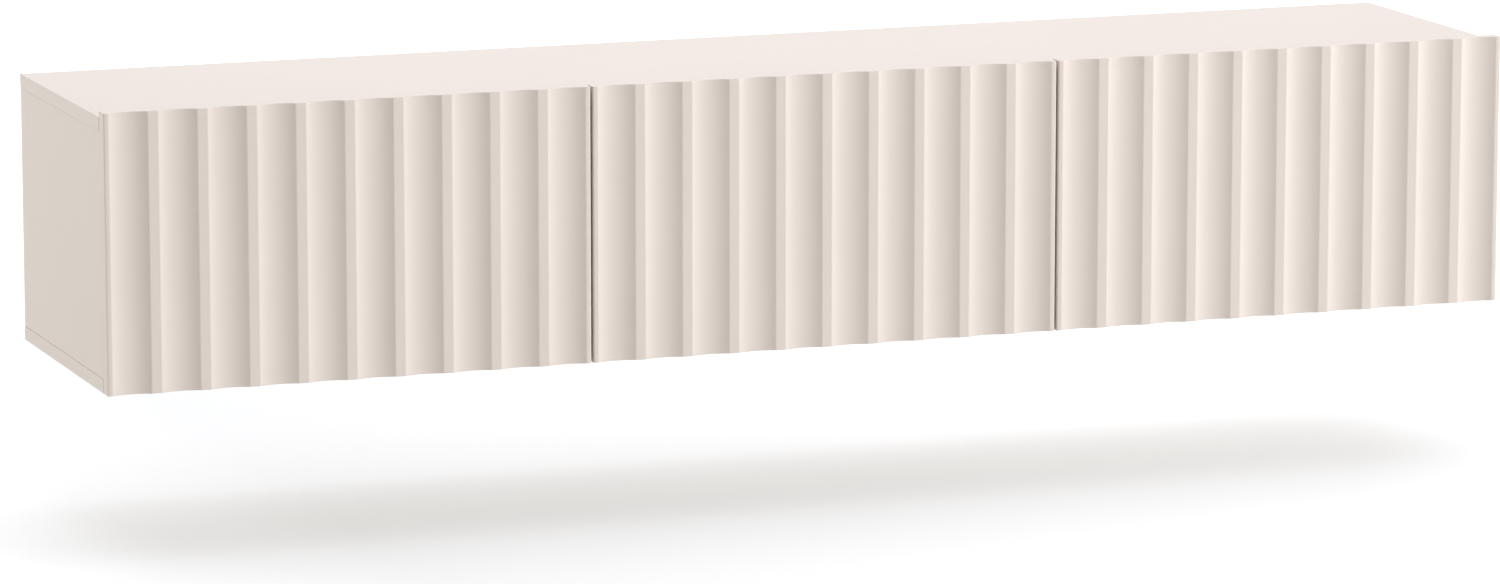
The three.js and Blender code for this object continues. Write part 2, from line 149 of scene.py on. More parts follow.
def growPiece(name, tree, sizes, material, seeds=()):
    seedMesh = bpy.data.meshes.new(name + "Seed")
    seedMesh.from_pydata(list(seeds), [], [])
    seed = addObject(name + "Seed", seedMesh)
    grow = seed.modifiers.new("Grow", "NODES")
    grow.node_group = tree
    given = {**sizes, "Finish": material}
    for item in tree.interface.items_tree:
        if item.in_out == "INPUT" and item.name in given:
            grow[item.identifier] = given[item.name]
    mesh = plainMesh(seed)
    seed.modifiers.remove(grow)
    bpy.data.objects.remove(seed)
    mesh.name = name
    return addObject(name, mesh)


# finishes
noiseDetail = {"broad": 3.0, "fine": 4.0}


def ramp(tree, value, low, high, fromLow=0.3, fromHigh=0.7):
    node = tree.nodes.new("ShaderNodeValToRGB")
    stops = node.color_ramp.elements
    stops[0].position, stops[0].color = fromLow, (*low, 1.0)
    stops[1].position, stops[1].color = fromHigh, (*high, 1.0)
    plug(tree, value, node.inputs["Fac"])
    return Wire(tree, node.outputs["Color"])


def linear(red, green, blue):  # a colour as a paint chart gives it, 0 to 255
    return tuple((c / 255 / 12.92) if c < 10.3 else ((c / 255 + 0.055) / 1.055) ** 2.4
                 for c in (red, green, blue))


def makeFinish(name, look):
    material = bpy.data.materials.new(name)
    material.use_nodes = True
    tree = material.node_tree
    shader = tree.nodes["Principled BSDF"]
    for socket, value in look.get("shader", {}).items():
        shader.inputs[socket].default_value = value
    place = put(tree, "ShaderNodeTexCoord", get="Object")
    if look.get("crystals"):
        broad = put(tree, "ShaderNodeTexVoronoi",
                    {"Vector": place, "Scale": look["broadScale"]}, get="Color")
        broad = put(tree, "ShaderNodeRGBToBW", {"Color": broad})
    else:
        broad = put(tree, "ShaderNodeTexNoise",
                    {"Vector": place, "Scale": look["broadScale"], "Detail": noiseDetail["broad"]})
    stretched = put(tree, "ShaderNodeMapping",
                    {"Vector": place, "Scale": look.get("fineStretch", (1.0, 1.0, 1.0))})
    fine = put(tree, "ShaderNodeTexNoise",
               {"Vector": stretched, "Scale": look["fineScale"], "Detail": noiseDetail["fine"]})
    share = look["fineShare"]
    pattern = broad * (1.0 - share) + fine * share
    plug(tree, ramp(tree, pattern, linear(*look["dark"]), linear(*look["light"])),
         shader.inputs["Base Color"])
    low, high = look["roughness"]
    plug(tree, put(tree, "ShaderNodeMapRange", {"Value": pattern, "To Min": low, "To Max": high}),
         shader.inputs["Roughness"])
    bump = put(tree, "ShaderNodeBump", {"Height": fine, "Strength": look["bumpStrength"],
                                        "Distance": look["bumpHeight"]})
    plug(tree, bump, shader.inputs["Normal"])
    return material


finishes = {
    # satin foil pressed over the boards and fronts: nearly even, with a very fine tooth
    "cashmereFoil": {
        "light": (231, 221, 212), "dark": (228, 218, 209), "broadScale": 4.0, "fineScale": 1400.0,
        "fineShare": 0.35, "roughness": (0.42, 0.52), "bumpHeight": 0.00003, "bumpStrength": 0.25,
        "shader": {"Specular IOR Level": 0.3}},
    # the bare side of the thin back boards: pressed brown fibre
    "rawHardboard": {
        "light": (172, 138, 104), "dark": (138, 106, 76), "broadScale": 60.0, "fineScale": 900.0,
        "fineShare": 0.6, "fineStretch": (1.0, 1.0, 0.35), "roughness": (0.65, 0.8),
        "bumpHeight": 0.0001, "bumpStrength": 0.5},
    "nickelSteel": {
        "light": (224, 221, 215), "dark": (212, 209, 203), "broadScale": 45.0, "fineScale": 1500.0,
        "fineShare": 0.4, "roughness": (0.26, 0.33), "bumpHeight": 0.00001, "bumpStrength": 0.12,
        "shader": {"Metallic": 1.0}},
    "zincSteel": {
        "light": (208, 210, 212), "dark": (192, 195, 199), "broadScale": 120.0, "fineScale": 1200.0,
        "fineShare": 0.4, "roughness": (0.34, 0.42), "bumpHeight": 0.00001, "bumpStrength": 0.15,
        "shader": {"Metallic": 1.0}},
    # hot-dipped sheet, with the flat grey crystals that it shows
    "galvanisedSheet": {
        "light": (205, 208, 210), "dark": (187, 190, 193), "broadScale": 130.0,
        "fineScale": 700.0, "fineShare": 0.25, "crystals": True, "roughness": (0.4, 0.52),
        "bumpHeight": 0.00001, "bumpStrength": 0.15, "shader": {"Metallic": 1.0}},
    "darkSteel": {
        "light": (112, 112, 112), "dark": (86, 86, 88), "broadScale": 120.0, "fineScale": 1500.0,
        "fineShare": 0.4, "roughness": (0.35, 0.5), "bumpHeight": 0.00002, "bumpStrength": 0.3,
        "shader": {"Metallic": 1.0}},
    "whitePlastic": {
        "light": (236, 234, 229), "dark": (230, 228, 223), "broadScale": 30.0, "fineScale": 1100.0,
        "fineShare": 0.5, "roughness": (0.38, 0.5), "bumpHeight": 0.00005, "bumpStrength": 0.35},
    "greyPlastic": {
        "light": (150, 152, 153), "dark": (138, 140, 142), "broadScale": 40.0, "fineScale": 1000.0,
        "fineShare": 0.5, "roughness": (0.4, 0.55), "bumpHeight": 0.00006, "bumpStrength": 0.4},
    "capPlastic": {
        "light": (224, 213, 203), "dark": (219, 208, 198), "broadScale": 40.0, "fineScale": 1100.0,
        "fineShare": 0.5, "roughness": (0.35, 0.45), "bumpHeight": 0.00005, "bumpStrength": 0.35},
    "clearRubber": {
        "light": (236, 236, 232), "dark": (222, 223, 219), "broadScale": 60.0, "fineScale": 900.0,
        "fineShare": 0.4, "roughness": (0.18, 0.3), "bumpHeight": 0.00002, "bumpStrength": 0.2,
        "shader": {"Transmission Weight": 0.55, "IOR": 1.45}},
}
finish = {name: makeFinish(name, look) for name, look in finishes.items()}
foil = finish["cashmereFoil"]
print("finishes made:", len(finish))


# shapes taken from a solid of the frame
meshing = {  # distances under which points become one, and angles in degrees
    "solidJoin": 0.00002, "drawnJoin": 0.000004,
    "bevelJoin": 0.000002,  # where a short edge left the bevel no room
    "levelAngle": 0.5, "bevelAngle": 33.0, "sharpAngle": 32.0,
    "roundingSteps": 2,
}


def middleOf(node):
    low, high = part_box(node)
    return (low + high) / 2


def flatFaces(name, mesh):  # a copy with near points merged and level faces made one
    work = bmesh.new()
    work.from_mesh(mesh)
    bmesh.ops.remove_doubles(work, verts=work.verts, dist=meshing["solidJoin"])
    bmesh.ops.dissolve_limit(work, angle_limit=math.radians(meshing["levelAngle"]),
                             verts=work.verts, edges=work.edges)
    work.verts.index_update()
    flat = bpy.data.meshes.new(name)
    flat.from_pydata([v.co.copy() for v in work.verts], [],
                     [[v.index for v in f.verts] for f in work.faces])
    work.free()
    return flat


def softenEdges(piece, radius, angle=meshing["bevelAngle"], segments=3, weighed=False):
    for face in piece.data.polygons:
        face.use_smooth = True
    bevel = piece.modifiers.new("SoftEdges", "BEVEL")
    bevel.width = radius
    bevel.segments = segments
    bevel.limit_method = "WEIGHT" if weighed else "ANGLE"
    bevel.angle_limit = math.radians(angle)
    weld = piece.modifiers.new("NoSlivers", "WELD")
    weld.merge_threshold = meshing["bevelJoin"]
    even = piece.modifiers.new("FlatFaces", "WEIGHTED_NORMAL")
    even.mode = "FACE_AREA"
    even.keep_sharp = True


def smoothByAngle(piece):
    piece.data.shade_smooth()
    piece.data.set_sharp_from_angle(angle=math.radians(meshing["sharpAngle"]))
    return piece


def refined(name, node, material, rounding, segments=meshing["roundingSteps"], middle=None):
    piece = addObject(name, flatFaces(name, nodes[node].data))
    if middle:
        piece.data.transform(Matrix.Translation(-middle))
    piece.data.materials.append(material)
    softenEdges(piece, rounding, segments=segments)
    return piece


def settle(piece, body, slot, *replaced):
    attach(piece, body)
    if replaced:
        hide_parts(*replaced)


# carcass boards
carcass = {"edgeRadius": 0.0008, "edgeSteps": 3}

for piece, node in (("topPanel", "top_panel"), ("bottomPanel", "bottom_panel"),
                    ("leftSidePanel", "left_side_panel"), ("rightSidePanel", "right_side_panel"),
                    ("leftPartition", "partition_1"), ("rightPartition", "partition_2")):
    board = refined(piece, node, foil, carcass["edgeRadius"], carcass["edgeSteps"])
    settle(board, "root", "carcass_board", node)
print("carcass made")


# fluted fronts
frontSizes = {  # the tree's own inputs, in metres
    "Width": 0.63, "Height": 0.3535, "Thickness": 0.02,
    "Flutes": 10, "Land": 0.013, "End Land": 0.0065, "Flute Depth": 0.0052, "Arc Steps": 24,
    "Cup Radius": 0.0177, "Cup Depth": 0.0115, "Cup Inset": 0.095, "Cup Height": 0.0207,
    "Chamfer": 0.002, "Place": (0.0, 0.0, 0.0),
}
front = {  # what the tree and the edges take besides
    "uprightRadius": 0.0018,  # the outer upright edges, which catch the light beside a gap
    "edgeRadius": 0.0009, "edgeAngle": 14.0,
    "backRadius": 0.0004, "backReach": 0.003,  # for edges this near the inner face
    "sameLine": 0.0001,    # points no further apart than this are in line
    "join": 0.000005,
    "endPoints": 3,        # of the outline, past the flutes at each end
    "pocketSides": 64,
    "cutterSpare": 0.01,   # how much longer the chamfer's cutter is than the front
}


def drawFrontTree():
    tree, size = startTree("flutedFront", frontSizes)
    width, height, thick = size["Width"], size["Height"], size["Thickness"]
    flutes, steps, depth = size["Flutes"], size["Arc Steps"], size["Flute Depth"]
    land, endLand = size["Land"], size["End Land"]
    chord = (width - 2 * endLand - (flutes - 1) * land) / flutes
    radius = (chord * chord / 4 + depth * depth) / (2 * depth)
    sweep = calc(tree, "ARCSINE", chord / 2 / radius)
    perFlute = steps + 1
    spare = front["endPoints"]
    count = flutes * perFlute + 2 * spare

    # one point after another along the front, and past the flutes at each end two corners and
    # a point of the flat back, which keeps the pockets clear of the corners
    index = put(tree, "GeometryNodeInputIndex") - spare
    fromEnd = count - (2 * spare + 1) - index
    flute = calc(tree, "FLOOR", index / perFlute)
    step = index - flute * perFlute
    angle = sweep * (2 * step / steps - 1)
    middle = endLand + chord / 2 + flute * (chord + land) - width / 2
    fluteX = middle + radius * calc(tree, "SINE", angle)
    fluteY = depth - thick - radius * (1 - calc(tree, "COSINE", angle))

    def beyond(row, points):  # 1 from so many points past the flutes on, else 0
        return calc(tree, "LESS_THAN", row, 0.5 - points)

    atStart, atEnd = beyond(index, 1), beyond(fromEnd, 1)
    isCorner = atStart + atEnd
    isBack = beyond(index, 2) + beyond(fromEnd, 2)
    isInset = beyond(index, 3) + beyond(fromEnd, 3)
    cornerX = (width / 2 - isInset * size["Cup Inset"]) * (atEnd - atStart)
    cornerY = -1 * thick * (1 - isBack)
    x = fluteX * (1 - isCorner) + cornerX
    y = fluteY * (1 - isCorner) + cornerY * isCorner

    row = put(tree, "GeometryNodeMeshLine", {"Count": count})
    placed = put(tree, "GeometryNodeSetPosition",
                 {"Geometry": row, "Position": vector(tree, x, y, 0.0)})
    line = put(tree, "GeometryNodeMeshToCurve", {"Mesh": placed})
    ring = put(tree, "GeometryNodeSetSplineCyclic", {"Geometry": line, "Cyclic": True})
    base = put(tree, "GeometryNodeFillCurve", {"Curve": ring}, mode="NGONS")
    risen = put(tree, "GeometryNodeExtrudeMesh",
                {"Mesh": base, "Offset": vector(tree, 0.0, 0.0, height), "Offset Scale": 1.0,
                 "Individual": False})
    under = put(tree, "GeometryNodeFlipFaces", {"Mesh": base})
    joined = put(tree, "GeometryNodeJoinGeometry", {"Geometry": [risen, under]})
    body = put(tree, "GeometryNodeMergeByDistance",
               {"Geometry": joined, "Distance": front["join"]})

    # pockets for the two hinge cups, and the chamfer that lets the front swing past the carcass
    sides = front["pocketSides"]
    pocket = put(tree, "GeometryNodeMeshCylinder",
                 {"Vertices": sides, "Radius": size["Cup Radius"], "Depth": size["Cup Depth"] * 2},
                 get="Mesh")
    cutters = [put(tree, "GeometryNodeTransform", {
        "Geometry": pocket, "Rotation": (math.pi / 2, math.pi / sides, 0.0),
        "Translation": vector(tree, side * (width / 2 - size["Cup Inset"]), 0.0,
                              size["Cup Height"])}) for side in bothSides]
    edge = size["Chamfer"] * math.sqrt(2)
    bar = put(tree, "GeometryNodeMeshCube",
              {"Size": vector(tree, width + front["cutterSpare"], edge, edge)}, get="Mesh")
    cutters.append(put(tree, "GeometryNodeTransform",
                       {"Geometry": bar, "Rotation": (math.pi / 4, 0.0, 0.0)}))
    cut = put(tree, "GeometryNodeMeshBoolean", {"Mesh 1": body, "Mesh 2": cutters},
              operation="DIFFERENCE", solver="EXACT")
    shape = put(tree, "GeometryNodeTransform", {"Geometry": cut, "Translation": size["Place"]})
    return endTree(tree, shape, size["Finish"])


def weighEdges(piece):  # each edge's share of the full radius, by where it lies
    work = bmesh.new()
    work.from_mesh(piece.data)
    share = work.edges.layers.float.new("bevel_weight_edge")
    points = [v.co for v in work.verts]
    left, right = min(p.x for p in points), max(p.x for p in points)
    outside, inside = min(p.y for p in points), max(p.y for p in points)
    near = front["sameLine"]
    for edge in work.edges:
        if edge.calc_face_angle(0.0) < math.radians(front["edgeAngle"]):
            continue
        a, b = (v.co for v in edge.verts)
        atEnd = abs(a.x - b.x) < near and min(a.x - left, right - a.x) < near
        radius = front["edgeRadius"]
        if atEnd and max(a.y, b.y) < outside + near:
            radius = front["uprightRadius"]
        if min(a.y, b.y) > inside - front["backReach"]:
            radius = front["backRadius"]
        edge[share] = radius / front["uprightRadius"]
    work.to_mesh(piece.data)
    work.free()


frontTree = drawFrontTree()
for bay in bays:
    low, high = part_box(bay + "_flap")
    sizes = {**frontSizes, "Width": high.x - low.x, "Height": high.z - low.z,
             "Place": ((low.x + high.x) / 2, high.y, low.z)}
    piece = growPiece(bay + "FlutedFront", frontTree, sizes, foil)
    piece.data = flatFaces(piece.name, piece.data)
    piece.data.materials.append(foil)
    weighEdges(piece)
    softenEdges(piece, front["uprightRadius"], front["edgeAngle"], weighed=True)
    settle(piece, bay + "_flap", "fluted_front", bay + "_flap")
    print("  front", bay, len(piece.data.vertices), "points")
print("fluted fronts made")


# outlines, stamped sheet and turned parts
standing = Matrix(((1, 0, 0, 0), (0, 0, -1, 0), (0, 1, 0, 0), (0, 0, 0, 1)))  # a drawing, stood up
sideways = Matrix.Rotation(math.pi / 2, 4, "Y")     # a turned part, its top towards +X
inwards = Matrix.Rotation(-math.pi / 2, 4, "X")     # and towards +Y
holeSides = 48


def arc(x, y, radius, start, stop, steps=8):  # points on a circle, from one angle to another
    turns = [math.radians(start + (stop - start) * i / steps) for i in range(steps + 1)]
    return [(x + radius * math.cos(t), y + radius * math.sin(t)) for t in turns]


def roundedBox(x, y, width, height, radius):
    right, top = x + width / 2 - radius, y + height / 2 - radius
    left, low = x - width / 2 + radius, y - height / 2 + radius
    return (arc(right, low, radius, -90, 0) + arc(right, top, radius, 0, 90)
            + arc(left, top, radius, 90, 180) + arc(left, low, radius, 180, 270))


def hole(x, y, radius):
    return arc(x, y, radius, 0, 360 / holeSides - 360, holeSides - 1)


def finishMesh(name, mesh, material):  # doubles merged, faces outwards, one material
    work = bmesh.new()
    work.from_mesh(mesh)
    bmesh.ops.remove_doubles(work, verts=work.verts, dist=meshing["drawnJoin"])
    bmesh.ops.recalc_face_normals(work, faces=work.faces)
    work.to_mesh(mesh)
    work.free()
    mesh.materials.clear()
    mesh.materials.append(material)
    return smoothByAngle(addObject(name, mesh))


def stamped(name, outer, holes, thickness, rounding, turn, material):  # sheet cut to an outline
    line = bpy.data.curves.new(name, "CURVE")
    line.dimensions, line.fill_mode = "2D", "BOTH"
    line.extrude = thickness / 2 - rounding
    line.bevel_depth, line.offset = rounding, -rounding
    line.bevel_resolution = meshing["roundingSteps"]
    for ring in (outer, *holes):
        spline = line.splines.new("POLY")
        spline.points.add(len(ring) - 1)
        for point, (x, y) in zip(spline.points, ring):
            point.co = (x, y, 0.0, 1.0)
        spline.use_cyclic_u = True
    drawn = addObject(name + "Line", line)
    mesh = plainMesh(drawn)
    bpy.data.objects.remove(drawn)
    mesh.name = name
    mesh.transform(turn)
    return finishMesh(name, mesh, material)


def turned(name, profile, sides, turn, material):  # an outline of (radius, height), turned round
    turns = [2 * math.pi * i / sides for i in range(sides)]
    points = [(radius * math.cos(t), radius * math.sin(t), height)
              for radius, height in profile for t in turns]
    lastRing = (len(profile) - 1) * sides
    faces = [tuple(reversed(range(sides)))]
    for ring in range(0, lastRing, sides):
        for i in range(sides):
            j = (i + 1) % sides
            faces.append((ring + i, ring + j, ring + sides + j, ring + sides + i))
    faces.append(tuple(range(lastRing, lastRing + sides)))
    mesh = bpy.data.meshes.new(name)
    mesh.from_pydata(points, [], faces)
    mesh.transform(turn)
    return finishMesh(name, mesh, material)


# domed heads, screws and buttons
buttonSizes = {
    "Radius": 0.0045, "Height": 0.0016, "Crown": 0.8, "Sides": 32, "Facing": (0.0, 1.0, 0.0),
}
screwSizes = {  # a head with a driver recess, drawn upright and turned to face its way
    "Radius": 0.0036, "Height": 0.0018, "Crown": 0.75, "Sides": 24,
    "Recess Length": 0.0044, "Recess Width": 0.0009, "Recess Depth": 0.0011, "Recess Arms": 2,
    "Facing": (0.0, 0.0, 1.0),
}
dome = {
    "buttonRings": 8, "screwRings": 5,
    "crossWidth": 0.8, "crossDepth": 1.01,  # so that the recess's two arms share no face
}


def drawDome(tree, size, rings):  # an upright rod, drawn in towards its top
    height = size["Height"]
    rod = put(tree, "GeometryNodeMeshCylinder",
              {"Vertices": size["Sides"], "Side Segments": rings, "Radius": size["Radius"],
               "Depth": height}, get="Mesh")
    raised = put(tree, "GeometryNodeTransform",
                 {"Geometry": rod, "Translation": vector(tree, 0.0, 0.0, height / 2)})
    spot = put(tree, "ShaderNodeSeparateXYZ", {0: put(tree, "GeometryNodeInputPosition")})
    x, y, z = (Wire(tree, spot.socket.node.outputs[i]) for i in range(3))
    rise = size["Crown"] * z / height
    shrink = calc(tree, "SQRT", 1 - rise * rise)
    return put(tree, "GeometryNodeSetPosition",
               {"Geometry": raised, "Position": vector(tree, x * shrink, y * shrink, z)})


def setDown(tree, size, shape):  # one at every point, turned to face its way
    facing = put(tree, "FunctionNodeAlignRotationToVector", {"Vector": size["Facing"]}, axis="Z")
    row = put(tree, "GeometryNodeInstanceOnPoints",
              {"Points": size["Geometry"], "Instance": shape, "Rotation": facing})
    return endTree(tree, row, size["Finish"])


def drawButtonTree():
    tree, size = startTree("domedButton", buttonSizes)
    return setDown(tree, size, drawDome(tree, size, dome["buttonRings"]))


def drawScrewTree():
    tree, size = startTree("screwHead", screwSizes)
    domed = drawDome(tree, size, dome["screwRings"])
    long, narrow, deep = size["Recess Length"], size["Recess Width"], size["Recess Depth"] * 2
    second = calc(tree, "GREATER_THAN", size["Recess Arms"], 1.5)
    arms = (vector(tree, long, narrow, deep),
            vector(tree, narrow * dome["crossWidth"], narrow + (long - narrow) * second,
                   deep * dome["crossDepth"]))
    blades = [put(tree, "GeometryNodeTransform",
                  {"Geometry": put(tree, "GeometryNodeMeshCube", {"Size": arm}, get="Mesh"),
                   "Translation": vector(tree, 0.0, 0.0, size["Height"])}) for arm in arms]
    head = put(tree, "GeometryNodeMeshBoolean", {"Mesh 1": domed, "Mesh 2": blades},
               operation="DIFFERENCE", solver="EXACT")
    return setDown(tree, size, head)


buttonTree = drawButtonTree()
screwTree = drawScrewTree()


def addScrews(name, body, places, sizes):
    piece = growPiece(name, screwTree, {**screwSizes, **sizes}, finish["zincSteel"], places)
    settle(smoothByAngle(piece), body, "zinc_steel")


# back boards, with their cable holes
backBoard = {
    "holeWidth": 0.14, "holeHeight": 0.06, "holeCorner": 0.012,
    "holeLift": 0.04,     # from the bottom panel up to the cable hole
    "inGroove": 0.00575,  # how far a board reaches into the grooves beside it
    "notchLevel": 0.025,  # the cutaways beside the hangers go up from here
    "rounding": 0.0003,
}


def backOutline(bay, low, high):
    ring = [(low.x, low.z), (high.x, low.z), (high.x, high.z), (low.x, high.z)]
    notch = backBoard["notchLevel"]
    if bay == "left":
        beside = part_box("left_hanger")[1].x
        ring[3:] = [(beside, high.z), (beside, notch), (low.x, notch)]
    if bay == "right":
        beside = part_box("right_hanger")[0].x
        ring[2:3] = [(high.x, notch), (beside, notch), (beside, high.z)]
    return ring


def cableHole(low, high):
    left = low.x + backBoard["inGroove"]
    right = high.x - backBoard["inGroove"]
    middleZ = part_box("bottom_panel")[1].z + backBoard["holeLift"] + backBoard["holeHeight"] / 2
    return roundedBox((left + right) / 2, middleZ, backBoard["holeWidth"],
                      backBoard["holeHeight"], backBoard["holeCorner"])[::-1]


for bay in bays:
    low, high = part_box(bay + "_back_panel")
    place = Matrix.Translation((0.0, (low.y + high.y) / 2, 0.0)) @ standing
    piece = stamped(bay + "BackBoard", backOutline(bay, low, high), [cableHole(low, high)],
                    high.y - low.y, backBoard["rounding"], place, foil)
    piece.data.materials.append(finish["rawHardboard"])
    for face in piece.data.polygons:
        if face.normal.y > 0.5:  # the rear face
            face.material_index = 1
    settle(piece, "root", "back_board", bay + "_back_panel")
print("back boards made")


# concealed hinges, drawn round the hinge axis
hinge = {
    "innerFace": 0.0078,  # from the axis back to the front's inner face
    "floor": 0.0107,      # and up to the bottom panel
    "plateFront": 0.0218, "screwLine": 0.0468,  # and back to the plate and its screws
    "armScrewLines": (0.0268, 0.0578),
    "plateThickness": 0.0025, "plateLength": 0.05, "plateCorner": 0.0035,
    "plateRounding": 0.0004, "plateScrewAcross": 0.017, "plateHole": 0.002,
    "spineWidth": 0.014, "wingSpan": 0.048, "wingDepth": 0.014, "wingSteps": 16,
    "armScrewLift": 0.0002,  # from the plate up to the head's underside
    "armScrew": {"Radius": 0.0024, "Height": 0.0079, "Crown": 0.3, "Recess Length": 0.0036,
                 "Recess Depth": 0.0012},
    "armRounding": 0.0005, "pinRounding": 0.0003,
}
cup = {
    "radius": 0.0175, "wall": 0.001, "floor": 0.0008, "depth": 0.0113, "middle": 0.0134,
    "flange": 0.001, "flangeRadius": 0.0195, "earSpan": 0.058, "earHeight": 0.016,
    "earRise": 0.006,    # the ears' middle above the cup's
    "trim": 0.0162,      # the flange ends this far below the cup's middle
    "inFlange": 0.0003,  # how far the cup's rim reaches into the flange
    "earScrewAcross": 0.023, "screwHole": 0.002, "rounding": 0.00025, "rootFillet": 0.0012,
    "sides": 72, "earSteps": 16, "rimSteps": 14, "mouthSteps": 60, "filletSteps": 4,
    "screw": {"Facing": (0.0, 1.0, 0.0), "Radius": 0.0034, "Height": 0.0008,
              "Recess Depth": 0.0006},
}


def flangeOutline():  # round the rim and both ears, then back along the cup's mouth
    rim, mouth, trim = cup["flangeRadius"], cup["radius"] - cup["wall"], cup["trim"]
    ear, rise, steps = cup["earHeight"] / 2, cup["earRise"], cup["earSteps"]
    reach = cup["earSpan"] / 2 - ear
    bottom = math.degrees(math.asin(-trim / rim))
    below = math.degrees(math.asin((rise - ear) / rim))
    above = math.degrees(math.asin((rise + ear) / rim))
    inner = math.degrees(math.asin(-trim / mouth))
    return (arc(0.0, 0.0, rim, bottom, below) + arc(reach, rise, ear, -90, 90, steps)
            + arc(0.0, 0.0, rim, above, 180 - above, cup["rimSteps"])
            + arc(-reach, rise, ear, 90, 270, steps)
            + arc(0.0, 0.0, rim, 180 - below, 180 - bottom)
            + arc(0.0, 0.0, mouth, 180 - inner, inner, cup["mouthSteps"]))


def cupProfile():
    outer, inner, floor = cup["radius"], cup["radius"] - cup["wall"], cup["floor"]
    top, corner, into = cup["depth"], cup["rootFillet"], cup["inFlange"]
    steps = cup["filletSteps"]
    return (arc(outer - corner, corner, corner, -90, 0, steps)
            + [(outer, top + into), (inner + into, top + into), (inner, top)]
            + arc(inner - corner, floor + corner, corner, 0, -90, steps))


def makeCupPart():
    mouth = hinge["innerFace"]
    flat = Matrix.Translation((0.0, mouth + cup["flange"] / 2, cup["middle"])) @ standing
    deep = Matrix.Translation((0.0, mouth - cup["depth"], cup["middle"])) @ inwards
    holes = [hole(side * cup["earScrewAcross"], cup["earRise"], cup["screwHole"])
             for side in bothSides]
    part = stamped("cupPart", flangeOutline(), holes, cup["flange"], cup["rounding"], flat,
                   finish["nickelSteel"])
    shell = turned("cupShell", cupProfile(), cup["sides"], deep, finish["nickelSteel"])
    work = bmesh.new()
    work.from_mesh(part.data)
    work.from_mesh(shell.data)
    work.to_mesh(part.data)
    work.free()
    bpy.data.objects.remove(shell)
    return part


def plateOutline():
    half, ends = hinge["spineWidth"] / 2, hinge["wingSpan"] / 2
    start, end = hinge["plateFront"], hinge["plateFront"] + hinge["plateLength"]
    line, wing, corner = hinge["screwLine"], hinge["wingDepth"] / 2, hinge["plateCorner"]
    steps = hinge["wingSteps"]
    return (arc(half - corner, start + corner, corner, -90, 0) + [(half, line - wing)]
            + arc(ends - wing, line, wing, -90, 90, steps) + [(half, line + wing)]
            + arc(half - corner, end - corner, corner, 0, 90)
            + arc(corner - half, end - corner, corner, 90, 180) + [(-half, line + wing)]
            + arc(wing - ends, line, wing, 90, 270, steps) + [(-half, line - wing)]
            + arc(corner - half, start + corner, corner, 180, 270))


def makePlatePart():
    holes = [hole(side * hinge["plateScrewAcross"], hinge["screwLine"], hinge["plateHole"])
             for side in bothSides]
    thick = hinge["plateThickness"]
    lifted = Matrix.Translation((0.0, 0.0, hinge["floor"] + thick / 2))
    return stamped("platePart", plateOutline(), holes, thick, hinge["plateRounding"], lifted,
                   finish["zincSteel"])


def drawCopyTree():  # one finished part, set down at every point
    tree, size = startTree("partAtPoints", {"Part": None})
    part = put(tree, "GeometryNodeObjectInfo", {"Object": size["Part"]}, get="Geometry")
    row = put(tree, "GeometryNodeInstanceOnPoints", {"Points": size["Geometry"], "Instance": part})
    return endTree(tree, row, size["Finish"])


def plainPart(name, node, rounding):  # a solid of the first hinge, brought to its axis
    piece = refined(name, node, finish["nickelSteel"], rounding,
                    middle=middleOf("left_hinge_1_pin"))
    mesh = plainMesh(piece)
    bpy.data.objects.remove(piece)
    return addObject(name, mesh)


copyTree = drawCopyTree()
cupPart = makeCupPart()
platePart = makePlatePart()
armPart = plainPart("armPart", "left_hinge_1_arm", hinge["armRounding"])
pinPart = plainPart("pinPart", "left_hinge_1_pin", hinge["pinRounding"])

for bay in bays:
    axes = [middleOf(f"{bay}_hinge_{i}_pin") for i in (1, 2)]
    for title, part, material, slot, body in (
            ("Arm", armPart, "nickelSteel", "nickel_steel", "root"),
            ("Plate", platePart, "zincSteel", "zinc_steel", "root"),
            ("Cup", cupPart, "nickelSteel", "nickel_steel", bay + "_flap"),
            ("Pin", pinPart, "nickelSteel", "nickel_steel", bay + "_flap")):
        piece = growPiece(f"{bay}Hinge{title}s", copyTree, {"Part": part}, finish[material], axes)
        replaced = [f"{bay}_hinge_{i}_{title.lower()}" for i in (1, 2)]
        settle(smoothByAngle(piece), body, slot, *replaced)

    plateTop = hinge["floor"] + hinge["plateThickness"]
    addScrews(bay + "PlateScrews", "root",
              [axis + Vector((side * hinge["plateScrewAcross"], hinge["screwLine"], plateTop))
               for axis in axes for side in bothSides], {})
    addScrews(bay + "ArmScrews", "root",
              [axis + Vector((0.0, y, plateTop + hinge["armScrewLift"]))
               for axis in axes for y in hinge["armScrewLines"]], hinge["armScrew"])
    addScrews(bay + "CupScrews", bay + "_flap",
              [axis + Vector((side * cup["earScrewAcross"], hinge["innerFace"] + cup["flange"],
                              cup["middle"] + cup["earRise"]))
               for axis in axes for side in bothSides], cup["screw"])
for part in (armPart, cupPart, pinPart, platePart):
    bpy.data.objects.remove(part)
print("hinges made")


# braking stays
stay = {
    "baseRadius": 0.011, "baseThickness": 0.003, "studRadius": 0.004, "studEnd": 0.0082,
    "studSides": 48, "pivotRounding": 0.0005, "brakeRounding": 0.0009, "steelRounding": 0.0004,
    "brakeScrewSunk": 0.0004,   # into the brake's side
    "brakeScrew": {"Facing": (1.0, 0.0, 0.0), "Radius": 0.0042, "Height": 0.0016, "Crown": 0.5,
                   "Recess Arms": 1, "Recess Length": 0.0066, "Recess Width": 0.0012},
    "bracketScrewIn": 0.00975,  # the screws' line, from the bracket's free side
    "bracketScrewUp": 0.012,    # above and below the bracket's middle
    "bracketBase": 0.002,
    "bracketScrew": {"Facing": (0.0, 1.0, 0.0), "Radius": 0.0034, "Height": 0.0014},
}


